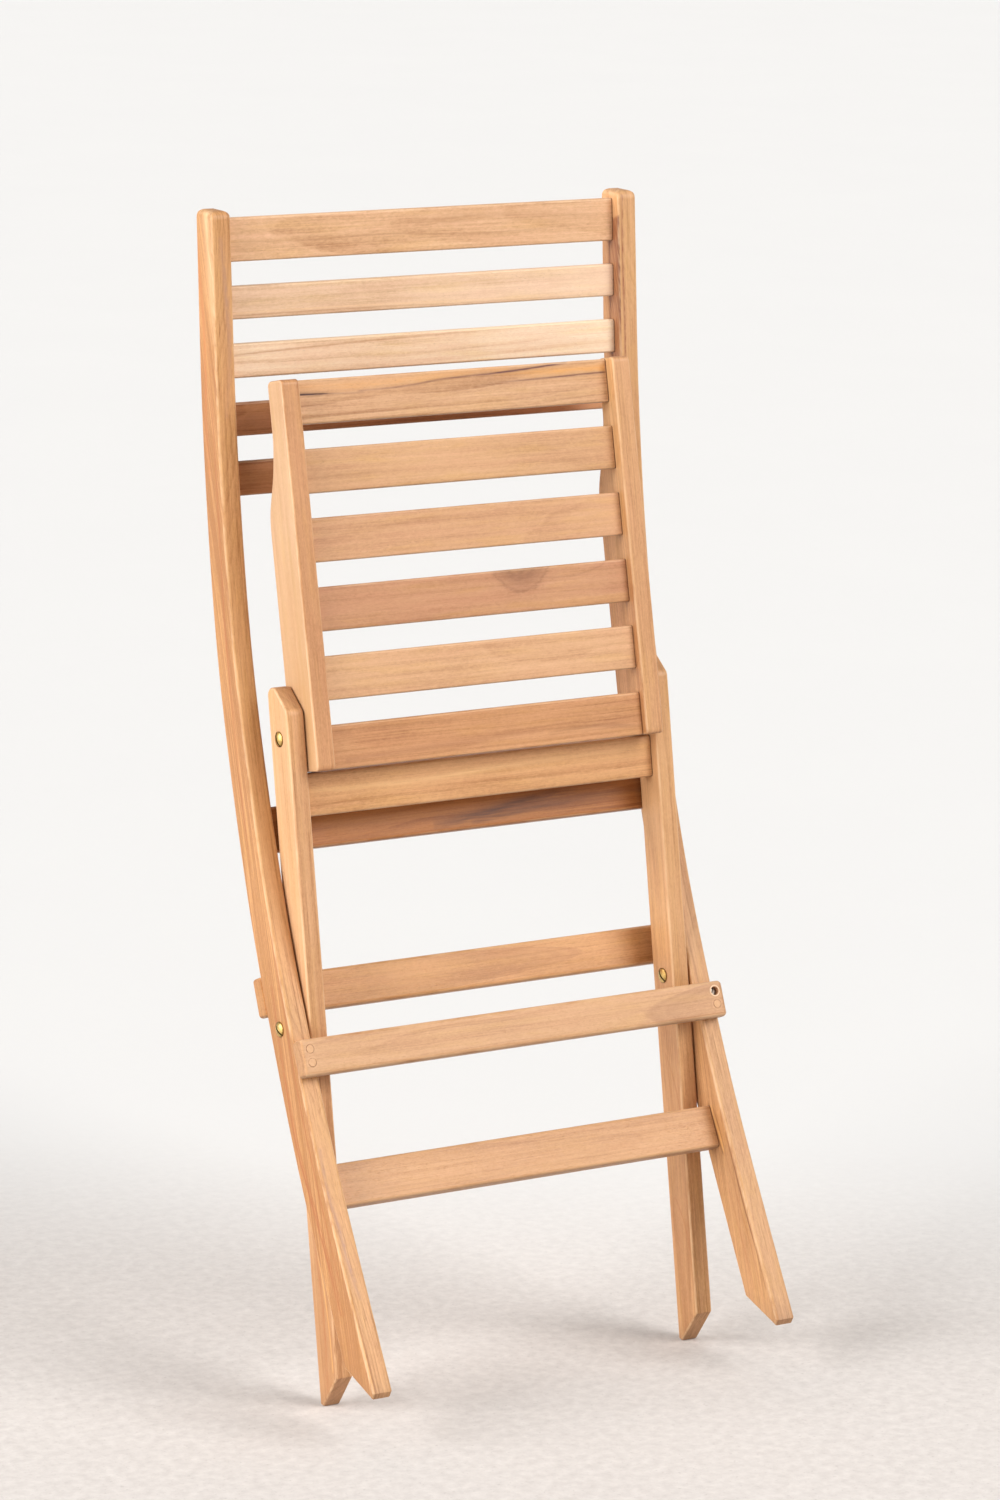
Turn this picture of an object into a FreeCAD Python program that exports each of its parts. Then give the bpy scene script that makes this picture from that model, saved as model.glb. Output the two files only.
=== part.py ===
import FreeCAD, Part
import math, os

# Folding teak chair without arms, shown folded and leaning back.
# Millimetres. X to the chair's left-right, front of the chair towards -Y, Z up.
# The shapes are drawn in a survey frame and moved once, at the end, so that the
# origin is on the floor, in the middle of the chair's footprint box.

# ---------------------------------------------------------------- dimensions
SHIFT_Y, SHIFT_Z = -75.25, -1.544

# widths across the chair, half values
X_STILE_OUT, X_STILE_IN = 220.0, 200.5
X_LEG_OUT, X_LEG_IN = 199.0, 181.5
X_SEAT_OUT, X_SEAT_IN = 180.5, 162.0
X_CROSS = 221.5

# stile: front edge through these (y, z) points, width along its length
STILE_FRONT = [(-107.0, 47.0), (-44.5, 151.7), (10.3, 246.6), (57.5, 341.4),
               (99.6, 436.2), (133.5, 531.0), (166.9, 644.8), (192.8, 777.6),
               (209.0, 910.3), (214.9, 986.2), (220.6, 1059.5)]
STILE_WIDTH = [(50.0, 43.0), (237.0, 41.2), (493.0, 36.4), (759.0, 33.1), (1060.0, 30.4)]
STILE_TOP = 1056.2
SOLE_ANGLE = 14.5                 # sole of the stile, level when the chair is open
SOLE_HEEL = (-43.3, 66.7)
SOLE_TOE = (-96.4, 52.97)
SOLE_TIP = (-99.8, 59.1)
STILE_TOP_R = 8.0
ARRIS = 2.6

# leg: own frame, q rearwards and s upwards from the leg pivot
PIVOT = (78.93, 343.96)
LEG_LEAN = 10.085
LEG_HALF = 17.5
LEG_OUTLINE = [(-17.5, -316.26, 2.0), (12.6, -345.75, 2.5), (17.5, -344.1, 2.0),
               (17.5, 303.0, 8.0), (4.0, 303.0, 6.0), (-17.5, 281.5, 9.0)]
SEAT_PIVOT_S = 257.16
TOP_RAIL = (-7.0, 9.0, 185.8, 224.6)

# seat: own frame, d from the seat's top edge to its underside, t towards its rear end
SEAT_ORIGIN = (118.13, 720.7)
SEAT_LEAN = 12.676
SEAT_T0, SEAT_T1 = -150.6, 197.0
SEAT_TOE_R = 10.0
SEAT_DEEP, SEAT_NARROW = 48.0, 27.5
SEAT_CURVE = [(60.0, 48.0), (78.0, 46.7), (97.0, 40.3), (117.0, 32.9), (136.0, 28.8), (152.0, 27.5)]
SEAT_PIVOT_T, SEAT_PIVOT_D = -119.3, 32.35
SLAT_W, SLAT_T = 39.5, 12.0
SLAT_T0, SLAT_PITCH = 176.2, 61.4
SLAT_RECESS0, SLAT_RECESS1 = 12.0, 7.0

# rails of the back frame
BACK_SLATS = [(1049.5, 1010.5), (989.0, 959.5), (938.0, 907.5), (886.0, 856.5), (834.5, 804.0)]
BACK_RECESS, BACK_T = 10.0, 12.0
SUPPORT = (533.9, 494.8, 4.0, 20.0)
LOW = (240.2, 205.9, 18.0, 18.0)
FRONT_RAIL = ((41.2, 345.9), (27.85, 314.9), 15.1)
FRONT_DROP = 1.6
REAR_RAIL = ((118.24, 382.25), (104.07, 349.07), 14.0)

# joinery
TENON = 10.0
GLUE = 0.1

# brass fittings
HEAD_R, HEAD_H, HEAD_RIM = 7.0, 3.0, 0.8
NUT_R, NUT_H = 7.0, 2.6
BOLT_R, SLEEVE_BORE, SLEEVE_R, RUN = 2.9, 3.0, 4.0, 0.05
SLOT_W, SLOT_D = 1.6, 1.3
WASHER_R, WASHER_BORE = 8.0, 4.15
AXIAL = 0.2

# screws and plugs of the cross rails
PLUG_R, SCREW_HEAD_R, SCREW_HEAD_H, SCREW_R = 4.0, 3.7, 2.4, 2.0
SCREW_X = 212.0
SCREW_GRIP = 20.0

V = FreeCAD.Vector
EX = V(1, 0, 0)
os.makedirs("parts", exist_ok=True)


# ---------------------------------------------------------------- small tools
def natural_spline(pts):
    """y as a smooth function of z through the points; returns value and slope."""
    z = [p[1] for p in pts]
    y = [p[0] for p in pts]
    n = len(z)
    h = [z[i + 1] - z[i] for i in range(n - 1)]
    a = [0.0] * n
    b = [1.0] * n
    c = [0.0] * n
    d = [0.0] * n
    for i in range(1, n - 1):
        a[i] = h[i - 1]
        b[i] = 2.0 * (h[i - 1] + h[i])
        c[i] = h[i]
        d[i] = 6.0 * ((y[i + 1] - y[i]) / h[i] - (y[i] - y[i - 1]) / h[i - 1])
    for i in range(1, n):
        w = a[i] / b[i - 1]
        b[i] -= w * c[i - 1]
        d[i] -= w * d[i - 1]
    m = [0.0] * n
    m[-1] = d[-1] / b[-1]
    for i in range(n - 2, -1, -1):
        m[i] = (d[i] - c[i] * m[i + 1]) / b[i]
    m[0] = m[-1] = 0.0

    def at(zz):
        i = 0
        while i < n - 2 and zz > z[i + 1]:
            i += 1
        u, v = z[i + 1] - zz, zz - z[i]
        val = (m[i] * u ** 3 + m[i + 1] * v ** 3) / (6 * h[i]) + (y[i] / h[i] - m[i] * h[i] / 6) * u + (y[i + 1] / h[i] - m[i + 1] * h[i] / 6) * v
        slo = (-m[i] * u ** 2 + m[i + 1] * v ** 2) / (2 * h[i]) - (y[i] / h[i] - m[i] * h[i] / 6) + (y[i + 1] / h[i] - m[i + 1] * h[i] / 6)
        return val, slo
    return at


front_y = natural_spline(STILE_FRONT)


def stile_width(z):
    t = STILE_WIDTH
    if z <= t[0][0]:
        return t[0][1]
    for (z0, w0), (z1, w1) in zip(t, t[1:]):
        if z <= z1:
            return w0 + (w1 - w0) * (z - z0) / (z1 - z0)
    return t[-1][1]


def stile_point(z, depth):
    y, m = front_y(z)
    k = math.hypot(1, m)
    return (y + depth / k, z - depth * m / k)


def P3(x, p):
    return V(x, p[0], p[1])


def corner_face(x, corners):
    """Closed outline from (y, z, radius) corners, at the given x."""
    n = len(corners)
    edges, ends = [], []
    for i in range(n):
        p = V(x, corners[i][0], corners[i][1])
        r = corners[i][2]
        a = V(x, corners[i - 1][0], corners[i - 1][1])
        b = V(x, corners[(i + 1) % n][0], corners[(i + 1) % n][1])
        u = (a - p).normalize()
        w = (b - p).normalize()
        if r <= 0:
            ends.append((p, None, p))
            continue
        half = u.getAngle(w) / 2
        t = r / math.tan(half)
        bis = (u + w).normalize()
        c = p + bis * (r / math.sin(half))
        ends.append((p + u * t, c - bis * r, p + w * t))
    for i in range(n):
        s, mid, e = ends[i]
        if mid is not None:
            edges.append(Part.Arc(s, mid, e).toShape())
        nxt = ends[(i + 1) % n][0]
        if (nxt - e).Length > 1e-6:
            edges.append(Part.LineSegment(e, nxt).toShape())
    return Part.Face(Part.Wire(edges))


def round_arrises(solid, x0, x1, r):
    """Round every edge that lies in one of the two broad faces."""
    pick = []
    for e in solid.Edges:
        b = e.BoundBox
        if (abs(b.XMin - x0) < 1e-4 and abs(b.XMax - x0) < 1e-4) or (abs(b.XMin - x1) < 1e-4 and abs(b.XMax - x1) < 1e-4):
            pick.append(e)
    return solid.makeFillet(r, pick)


class Section:
    """Rectangle in the Y-Z plane: top and bottom corner of its front face, and thickness."""
    def __init__(self, top, bottom, thick):
        dy, dz = top[0] - bottom[0], top[1] - bottom[1]
        self.H = math.hypot(dy, dz)
        self.T = thick
        self.h = (dy / self.H, dz / self.H)
        self.n = (self.h[1], -self.h[0])
        self.lean = math.degrees(math.atan2(dy, dz))
        self.c = ((top[0] + bottom[0]) / 2 + self.n[0] * thick / 2, (top[1] + bottom[1]) / 2 + self.n[1] * thick / 2)

    def box(self, x0, x1, H, T, r, ends=False):
        b = Part.makeBox(x1 - x0, T, H, V(x0, -T / 2, -H / 2))
        if r > 0:
            if ends:
                b = b.makeFillet(r, b.Edges)
            else:
                b = b.makeFillet(r, [e for e in b.Edges if abs(e.tangentAt(e.FirstParameter).x) > 0.9])
        b.rotate(V(0, 0, 0), EX, -self.lean)
        b.translate(V(0, self.c[0], self.c[1]))
        return b

    def at(self, up, depth):
        """point measured from the top of the front face: down by up, inwards by depth"""
        top = (self.c[0] - self.n[0] * self.T / 2 + self.h[0] * self.H / 2, self.c[1] - self.n[1] * self.T / 2 + self.h[1] * self.H / 2)
        return (top[0] - self.h[0] * up + self.n[0] * depth, top[1] - self.h[1] * up + self.n[1] * depth)


def bar(sec, half, r):
    """Straight bar between two side pieces, with a tenon at each end."""
    body = sec.box(-half, half, sec.H, sec.T, r)
    tt, th = sec.T - 5.0, sec.H - 8.0
    core = sec.box(-half - TENON, half + TENON, th, tt, 1.5)
    return body.fuse(core).removeSplitter()


def mortise(sec, inner, side):
    tt, th = sec.T - 5.0 + 2 * GLUE, sec.H - 8.0 + 2 * GLUE
    a, b = inner - 1.0, inner + TENON + 0.3
    if side < 0:
        a, b = -b, -a
    return sec.box(a, b, th, tt, 1.5 + GLUE)


def cyl(r, x0, x1, p):
    return Part.makeCylinder(r, x1 - x0, V(x0, p[0], p[1]), EX)


def both(shape):
    return [shape, shape.mirror(V(0, 0, 0), EX)]


nodes = {}


def keep(name, shapes):
    if not isinstance(shapes, list):
        shapes = [shapes]
    solids = []
    for s in shapes:
        for k in s.Solids:
            if k.Volume < 0:
                k = k.copy()
                k.reverse()
            solids.append(k)
    out = solids[0] if len(solids) == 1 else Part.makeCompound(solids)
    out.translate(V(0, SHIFT_Y, SHIFT_Z))
    nodes[name] = out


# ---------------------------------------------------------------- sections of all bars
def on_stile(zt, zb, recess, thick):
    t, b = stile_point(zt, 0), stile_point(zb, 0)
    s = Section(t, b, thick)
    return Section((t[0] + s.n[0] * recess, t[1] + s.n[1] * recess), (b[0] + s.n[0] * recess, b[1] + s.n[1] * recess), thick)


back = [on_stile(a, b, BACK_RECESS, BACK_T) for a, b in BACK_SLATS]
support = on_stile(*SUPPORT)
low = on_stile(*LOW)

f_top, f_bot, f_thick = FRONT_RAIL
s0 = Section(f_top, f_bot, f_thick)
front_rail_s = Section((f_top[0] - s0.h[0] * FRONT_DROP, f_top[1] - s0.h[1] * FRONT_DROP),
                       (f_bot[0] - s0.h[0] * FRONT_DROP, f_bot[1] - s0.h[1] * FRONT_DROP), f_thick)
# slide it along its own depth until its inner face meets the stiles' front edges
zt = front_rail_s.at(0, f_thick)[1]
zb = front_rail_s.at(front_rail_s.H, f_thick)[1]


def seat_on(sec, inner_depth, sign):
    """how far the section's contact face is off the stile edge (front edge, or rear edge when sign is -1)"""
    worst = None
    for i in range(41):
        up = sec.H * i / 40.0
        p = sec.at(up, inner_depth)
        best = None
        for k in range(81):
            z = p[1] - 25 + 50 * k / 80.0
            q = stile_point(z, 0 if sign > 0 else stile_width(z))
            dd = (q[0] - p[0]) * sec.n[0] + (q[1] - p[1]) * sec.n[1]
            al = (q[0] - p[0]) * sec.h[0] + (q[1] - p[1]) * sec.h[1]
            if best is None or abs(al) < best[0]:
                best = (abs(al), dd)
        g = best[1] * sign
        if worst is None or g < worst:
            worst = g
    return worst


g = seat_on(front_rail_s, f_thick, 1) - 0.06
front_rail_s = Section(front_rail_s.at(0, g), front_rail_s.at(front_rail_s.H, g), f_thick)
r_top, r_bot, r_thick = REAR_RAIL
rear_rail_s = Section(r_top, r_bot, r_thick)
g2 = seat_on(rear_rail_s, 0.0, -1) - 0.06
rear_rail_s = Section(rear_rail_s.at(0, -g2), rear_rail_s.at(rear_rail_s.H, -g2), r_thick)
print("front rail moved in", round(g, 2), "rear rail moved", round(-g2, 2))


# ---------------------------------------------------------------- screws and plugs
def screw_site(sec, up, front):
    """mouth point and inward direction of a screw through a cross rail"""
    if front:
        p = sec.at(up, 0)
        d = V(0, sec.n[0], sec.n[1])
    else:
        p = sec.at(up, sec.T)
        d = V(0, -sec.n[0], -sec.n[1])
    return V(SCREW_X, p[0], p[1]), d


front_sites = [screw_site(front_rail_s, u, True) for u in (9.3, 21.6)]
rear_sites = [screw_site(rear_rail_s, u, False) for u in (11.1, 23.8)]
PLUG_LEN = {"front": 4.6, "rear": 4.2}
BORE_DEEP = {"front": PLUG_LEN["front"] + SCREW_HEAD_H + 0.4, "rear": PLUG_LEN["rear"] + SCREW_HEAD_H + 0.4}


def screw_tool(p, d, deep, thick):
    bore = Part.makeCylinder(PLUG_R + 0.05, deep + 5, p - d * 5, d)
    hole = Part.makeCylinder(SCREW_R + 0.06, thick + SCREW_GRIP + 1.0, p, d)
    return bore.fuse(hole)


def screw(p, d, deep, thick):
    a = p + d * (deep - SCREW_HEAD_H)
    head = Part.makeCylinder(SCREW_HEAD_R, SCREW_HEAD_H, a, d)
    head = head.makeFillet(0.8, [e for e in head.Edges if len(e.Vertexes) == 1 and (e.CenterOfMass - a).Length < 0.1])
    shank = Part.makeCylinder(SCREW_R, thick - deep + SCREW_GRIP - 4, a + d * (SCREW_HEAD_H - 0.2), d)
    tip = Part.makeCone(SCREW_R, 0.3, 4, a + d * (SCREW_HEAD_H - 0.2 + thick - deep + SCREW_GRIP - 4), d)
    slot = Part.makeBox(1.1, 1.1, 9.0, V(-0.55, 0, -4.5))
    slot.rotate(V(0, 0, 0), EX, math.degrees(math.atan2(d.z, d.y)))
    slot.rotate(V(0, 0, 0), d, 25)
    slot.translate(a - d * 0.01)
    return head.fuse(shank).fuse(tip).removeSplitter().cut(slot)


def plug(p, d, length, proud):
    c = Part.makeCylinder(PLUG_R, length, p - d * proud, d)
    return c.makeFillet(0.5, [e for e in c.Edges if len(e.Vertexes) == 1 and (e.CenterOfMass - (p - d * proud)).Length < 0.1])


# ---------------------------------------------------------------- stiles
zs = [48.0 + i * (STILE_TOP + 8 - 48.0) / 24.0 for i in range(25)]
f_pts = [P3(X_STILE_IN, stile_point(z, 0)) for z in zs]
r_pts = [P3(X_STILE_IN, stile_point(z + 14.0, stile_width(z + 14.0))) for z in zs]
fc = Part.BSplineCurve()
fc.interpolate(f_pts)
rc = Part.BSplineCurve()
rc.interpolate(r_pts)
fe, re_ = fc.toShape(), rc.toShape()
blank = Part.Face(Part.Wire([fe, Part.LineSegment(f_pts[-1], r_pts[-1]).toShape(), re_, Part.LineSegment(r_pts[0], f_pts[0]).toShape()]))
blank = blank.extrude(V(X_STILE_OUT - X_STILE_IN, 0, 0))

# trim the foot to the sole line and its blunt tip, and the top to a level end
ca, sa = math.cos(math.radians(SOLE_ANGLE)), math.sin(math.radians(SOLE_ANGLE))
far = 80.0
sole_cut = Part.Face(Part.makePolygon([V(195, SOLE_HEEL[0] + far * ca, SOLE_HEEL[1] + far * sa),
                                       V(195, SOLE_TOE[0], SOLE_TOE[1]),
                                       V(195, SOLE_TOE[0] + (SOLE_TIP[0] - SOLE_TOE[0]) * 6, SOLE_TOE[1] + (SOLE_TIP[1] - SOLE_TOE[1]) * 6),
                                       V(195, SOLE_TOE[0] - 60, SOLE_TOE[1] - 60),
                                       V(195, SOLE_HEEL[0] + far * ca, SOLE_TOE[1] - 60),
                                       V(195, SOLE_HEEL[0] + far * ca, SOLE_HEEL[1] + far * sa)])).extrude(V(30, 0, 0))
top_cut = Part.makeBox(30, 200, 60, V(195, 150, STILE_TOP))
stile = blank.cut(sole_cut).cut(top_cut)
stile = stile.Solids[0] if len(stile.Solids) == 1 else max(stile.Solids, key=lambda s: s.Volume)

# crown of the stile's end: round it side to side and front to rear
crown = [e for e in stile.Edges if abs(e.BoundBox.ZMin - STILE_TOP) < 1e-3 and abs(e.BoundBox.ZMax - STILE_TOP) < 1e-3 and e.BoundBox.XLength > 5]
stile = stile.makeFillet(STILE_TOP_R, crown)
try:
    tops = [e for e in stile.Edges if abs(e.BoundBox.ZMin - STILE_TOP) < 1e-3 and e.BoundBox.XLength < 1e-3]
    stile2 = round_arrises(stile, X_STILE_IN, X_STILE_OUT, ARRIS)
    if not stile2.isValid():
        raise ValueError("invalid")
    stile = stile2
    print("stile arrises ok")
except Exception as ex:
    print("stile arrises failed", ex)
# the end is also eased where it meets the broad faces
ease = Part.makeBox(X_STILE_OUT - X_STILE_IN + 8, 80, 40, V(X_STILE_IN - 4, 190, STILE_TOP - 30))
mask = Part.makeBox(X_STILE_OUT - X_STILE_IN, 90, 60, V(X_STILE_IN, 185, STILE_TOP - 60))
mask = mask.makeFillet(7.0, [e for e in mask.Edges if abs(e.BoundBox.ZMin - STILE_TOP) < 1e-6 and e.BoundBox.YLength > 50])
stile = stile.cut(ease.cut(mask))

for sec in back + [support, low]:
    stile = stile.cut(mortise(sec, X_STILE_IN, 1))
stile = stile.cut(cyl(SLEEVE_R + RUN, X_STILE_IN - 2, X_STILE_OUT + 2, PIVOT))
for (p, d) in front_sites:
    stile = stile.cut(screw_tool(p, d, BORE_DEEP["front"], f_thick))
for (p, d) in rear_sites:
    stile = stile.cut(screw_tool(p, d, BORE_DEEP["rear"], r_thick))
sr = stile.Solids[0]
keep("stile_right", sr.copy())
keep("stile_left", sr.mirror(V(0, 0, 0), EX))

# ---------------------------------------------------------------- slats and rails of the back frame
for i, sec in enumerate(back):
    keep("back_slat_%d" % (i + 1), bar(sec, X_STILE_IN, 2.2))
keep("seat_support_rail", bar(support, X_STILE_IN, 3.0))
keep("low_stretcher", bar(low, X_STILE_IN, 3.0))

front_rail = front_rail_s.box(-X_CROSS, X_CROSS, front_rail_s.H, front_rail_s.T, 4.0, True)
rear_rail = rear_rail_s.box(-X_CROSS, X_CROSS, rear_rail_s.H, rear_rail_s.T, 3.5, True)
for (p, d) in front_sites:
    for t in both(screw_tool(p, d, BORE_DEEP["front"], f_thick)):
        front_rail = front_rail.cut(t)
for (p, d) in rear_sites:
    for t in both(screw_tool(p, d, BORE_DEEP["rear"], r_thick)):
        rear_rail = rear_rail.cut(t)
keep("front_cross_rail", front_rail)
keep("rear_cross_rail", rear_rail)

fs, fp, rs, rp = [], [], [], []
for i, (p, d) in enumerate(front_sites):
    fs += both(screw(p, d, BORE_DEEP["front"], f_thick))
    a, b = both(plug(p, d, PLUG_LEN["front"], 0.25))
    fp.append(b)
    if i == 1:
        fp.append(a)          # the upper right counterbore has lost its plug
for (p, d) in rear_sites:
    rs += both(screw(p, d, BORE_DEEP["rear"], r_thick))
    rp += both(plug(p, d, PLUG_LEN["rear"], 0.25))
keep("front_rail_screws", fs)
keep("front_rail_plugs", fp)
keep("rear_rail_screws", rs)
keep("rear_rail_plugs", rp)


# ---------------------------------------------------------------- legs
def leg_pt(q, s):
    b = math.radians(LEG_LEAN)
    return (PIVOT[0] + q * math.cos(b) + s * math.sin(b), PIVOT[1] - q * math.sin(b) + s * math.cos(b))


SEAT_PIVOT = leg_pt(0.0, SEAT_PIVOT_S)
outline = [leg_pt(q, s) + (r,) for q, s, r in LEG_OUTLINE]
leg = corner_face(X_LEG_IN, outline).extrude(V(X_LEG_OUT - X_LEG_IN, 0, 0))
leg = round_arrises(leg, X_LEG_IN, X_LEG_OUT, 2.4)
q0, q1, t0, t1 = TOP_RAIL
rail_s = Section(leg_pt(q0, t1), leg_pt(q0, t0), q1 - q0)
leg = leg.cut(mortise(rail_s, X_LEG_IN, 1))
leg = leg.cut(cyl(SLEEVE_R + RUN, X_LEG_IN - 2, X_LEG_OUT + 2, PIVOT))
leg = leg.cut(cyl(SLEEVE_R + RUN, X_LEG_IN - 2, X_LEG_OUT + 2, SEAT_PIVOT))
lr = leg.Solids[0]
keep("leg_right", lr.copy())
keep("leg_left", lr.mirror(V(0, 0, 0), EX))
keep("leg_top_rail", bar(rail_s, X_LEG_IN, 3.0))


# ---------------------------------------------------------------- seat
def seat_pt(d, t):
    a = math.radians(SEAT_LEAN)
    return (SEAT_ORIGIN[0] + d * math.cos(a) + t * math.sin(a), SEAT_ORIGIN[1] - d * math.sin(a) + t * math.cos(a))


def S3(d, t):
    return P3(X_SEAT_IN, seat_pt(d, t))


along = S3(0, 1) - S3(0, 0)
cv = Part.BSplineCurve()
cv.interpolate(Points=[S3(d, t) for t, d in SEAT_CURVE], InitialTangent=along, FinalTangent=along)
w = Part.Wire([Part.LineSegment(S3(0, SEAT_T1), S3(0, SEAT_T0)).toShape(),
               Part.LineSegment(S3(0, SEAT_T0), S3(SEAT_DEEP, SEAT_T0)).toShape(),
               Part.LineSegment(S3(SEAT_DEEP, SEAT_T0), S3(SEAT_DEEP, SEAT_CURVE[0][0])).toShape(),
               cv.toShape(),
               Part.LineSegment(S3(SEAT_NARROW, SEAT_CURVE[-1][0]), S3(SEAT_NARROW, SEAT_T1)).toShape(),
               Part.LineSegment(S3(SEAT_NARROW, SEAT_T1), S3(0, SEAT_T1)).toShape()])
rail = Part.Face(w).extrude(V(X_SEAT_OUT - X_SEAT_IN, 0, 0))


def near(e, pts):
    if e.BoundBox.XLength < 5:
        return False
    c = e.CenterOfMass
    return any(math.hypot(c.y - p.y, c.z - p.z) < 0.2 for p in pts)


toe = [e for e in rail.Edges if near(e, [S3(SEAT_DEEP, SEAT_T0)])]
rail = rail.makeFillet(SEAT_TOE_R, toe)
corners = [e for e in rail.Edges if near(e, [S3(0, SEAT_T1), S3(0, SEAT_T0), S3(SEAT_NARROW, SEAT_T1)])]
rail = rail.makeFillet(5.0, corners)
rail = round_arrises(rail, X_SEAT_IN, X_SEAT_OUT, 2.4)
slats = []
for i in range(6):
    tc = SLAT_T0 - SLAT_PITCH * i
    rec = SLAT_RECESS0 + (SLAT_RECESS1 - SLAT_RECESS0) * i / 5.0
    slats.append(Section(seat_pt(rec, tc + SLAT_W / 2), seat_pt(rec, tc - SLAT_W / 2), SLAT_T))
for sec in slats:
    rail = rail.cut(mortise(sec, X_SEAT_IN, 1))
rail = rail.cut(cyl(SLEEVE_R + RUN, X_SEAT_IN - 2, X_SEAT_OUT + 2, SEAT_PIVOT))
rr = rail.Solids[0]
keep("seat_rail_right", rr.copy())
keep("seat_rail_left", rr.mirror(V(0, 0, 0), EX))
for i, sec in enumerate(slats):
    keep("seat_slat_%d" % (i + 1), bar(sec, X_SEAT_IN, 2.2))


# ---------------------------------------------------------------- brass fittings
def dome(r, height, rim, slot_angle):
    """domed slotted head: flat side at x = 0, crown towards +X"""
    rise = height - rim
    big = (r * r + rise * rise) / (2 * rise)
    ball = Part.makeSphere(big, V(height - big, 0, 0))
    head = Part.makeCylinder(r, height, V(0, 0, 0), EX).common(ball)
    slot = Part.makeBox(SLOT_D + 1, 2 * r + 4, SLOT_W, V(height - SLOT_D, -r - 2, -SLOT_W / 2))
    slot.rotate(V(0, 0, 0), EX, slot_angle)
    return head, slot


def bolt(x_head, x_end, p, angle):
    """head outside, shank running inwards to x_end, for the right-hand side"""
    head, slot = dome(HEAD_R, HEAD_H, HEAD_RIM, angle)
    shank = Part.makeCylinder(BOLT_R, x_head - x_end + 0.5, V(x_end - x_head, 0, 0), EX)
    b = head.fuse(shank).removeSplitter().cut(slot)
    b.translate(V(x_head, p[0], p[1]))
    return b


def sleeve_nut(x_face, x_end, p, angle):
    """slotted head inside, sleeve running outwards to x_end, for the right-hand side"""
    head, slot = dome(NUT_R, NUT_H, 0.7, angle)
    h = head.cut(slot)
    h.rotate(V(0, 0, 0), V(0, 0, 1), 180)
    sleeve = Part.makeCylinder(SLEEVE_R, x_end - x_face + 0.4, V(-0.4, 0, 0), EX)
    n = h.fuse(sleeve).removeSplitter()
    n = n.cut(Part.makeCylinder(SLEEVE_BORE, x_end - x_face, V(6.0, 0, 0), EX))
    n.translate(V(x_face, p[0], p[1]))
    return n


def washer(x0, x1, p):
    return cyl(WASHER_R, x0, x1, p).cut(cyl(WASHER_BORE, x0 - 1, x1 + 1, p))


# leg pivots: bolt and sleeve are fast in the stile, the leg turns on the sleeve
keep("leg_pivot_bolts", both(bolt(X_STILE_OUT, X_LEG_IN + 9.0, PIVOT, 35.0)))
keep("leg_pivot_nuts", both(sleeve_nut(X_LEG_IN - AXIAL, X_STILE_OUT - 5.0, PIVOT, -40.0)))
keep("leg_pivot_washers", both(washer(X_LEG_OUT + 0.3, X_STILE_IN, PIVOT)))
# seat pivots: bolt and sleeve are fast in the leg, the seat turns on the sleeve
keep("seat_pivot_bolts", both(bolt(X_LEG_OUT, X_SEAT_IN + 9.0, SEAT_PIVOT, 60.0)))
keep("seat_pivot_nuts", both(sleeve_nut(X_SEAT_IN - AXIAL, X_LEG_OUT - 4.0, SEAT_PIVOT, 20.0)))
keep("seat_pivot_washers", both(washer(X_SEAT_OUT + 0.3, X_LEG_IN, SEAT_PIVOT)))

# ---------------------------------------------------------------- write
box = FreeCAD.BoundBox()
count = 0
for name, shape in nodes.items():
    shape.exportStep("parts/%s.step" % name)
    box.add(shape.optimalBoundingBox(False, False) if hasattr(shape, "optimalBoundingBox") else shape.BoundBox)
    count += len(shape.Solids)
    if not shape.isValid():
        print("INVALID", name)
    if any(s.Volume <= 0 for s in shape.Solids):
        print("VOLUME", name)
print("nodes", len(nodes), "solids", count)
print("box", [round(v, 3) for v in (box.XMin, box.XMax, box.YMin, box.YMax, box.ZMin, box.ZMax)])
print("leg pivot", round(PIVOT[0] + SHIFT_Y, 3), round(PIVOT[1] + SHIFT_Z, 3), "seat pivot", round(SEAT_PIVOT[0] + SHIFT_Y, 3), round(SEAT_PIVOT[1] + SHIFT_Z, 3))
print("stile sole mid", round((SOLE_HEEL[0] + SOLE_TOE[0]) / 2 + SHIFT_Y, 3), round((SOLE_HEEL[1] + SOLE_TOE[1]) / 2 + SHIFT_Z, 3))
lm = leg_pt((LEG_OUTLINE[0][0] + LEG_OUTLINE[1][0]) / 2, (LEG_OUTLINE[0][1] + LEG_OUTLINE[1][1]) / 2)
print("leg sole mid", round(lm[0] + SHIFT_Y, 3), round(lm[1] + SHIFT_Z, 3))
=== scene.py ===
import bpy
import math
import numpy as np
from mathutils import Matrix, Vector

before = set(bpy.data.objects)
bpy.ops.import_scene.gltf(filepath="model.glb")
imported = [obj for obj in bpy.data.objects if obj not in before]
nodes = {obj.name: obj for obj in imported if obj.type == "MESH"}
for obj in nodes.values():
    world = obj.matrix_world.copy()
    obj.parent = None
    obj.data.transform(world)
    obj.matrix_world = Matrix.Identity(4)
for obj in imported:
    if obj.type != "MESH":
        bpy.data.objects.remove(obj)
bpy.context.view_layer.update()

scene = bpy.context.scene


def srgb(r, g, b):
    def f(c):
        c = c / 255.0
        return c / 12.92 if c <= 0.04045 else ((c + 0.055) / 1.055) ** 2.4
    return (f(r), f(g), f(b), 1.0)


# ------------------------------------------------------------------ node arithmetic
NT = [None]


class Val:
    """A float socket in the tree being built."""
    def __init__(self, sock):
        self.s = sock

    def __add__(self, o): return op("ADD", self, o)
    __radd__ = __add__
    def __sub__(self, o): return op("SUBTRACT", self, o)
    def __rsub__(self, o): return op("SUBTRACT", o, self)
    def __mul__(self, o): return op("MULTIPLY", self, o)
    __rmul__ = __mul__
    def __truediv__(self, o): return op("DIVIDE", self, o)
    def __neg__(self): return op("MULTIPLY", self, -1.0)


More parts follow.
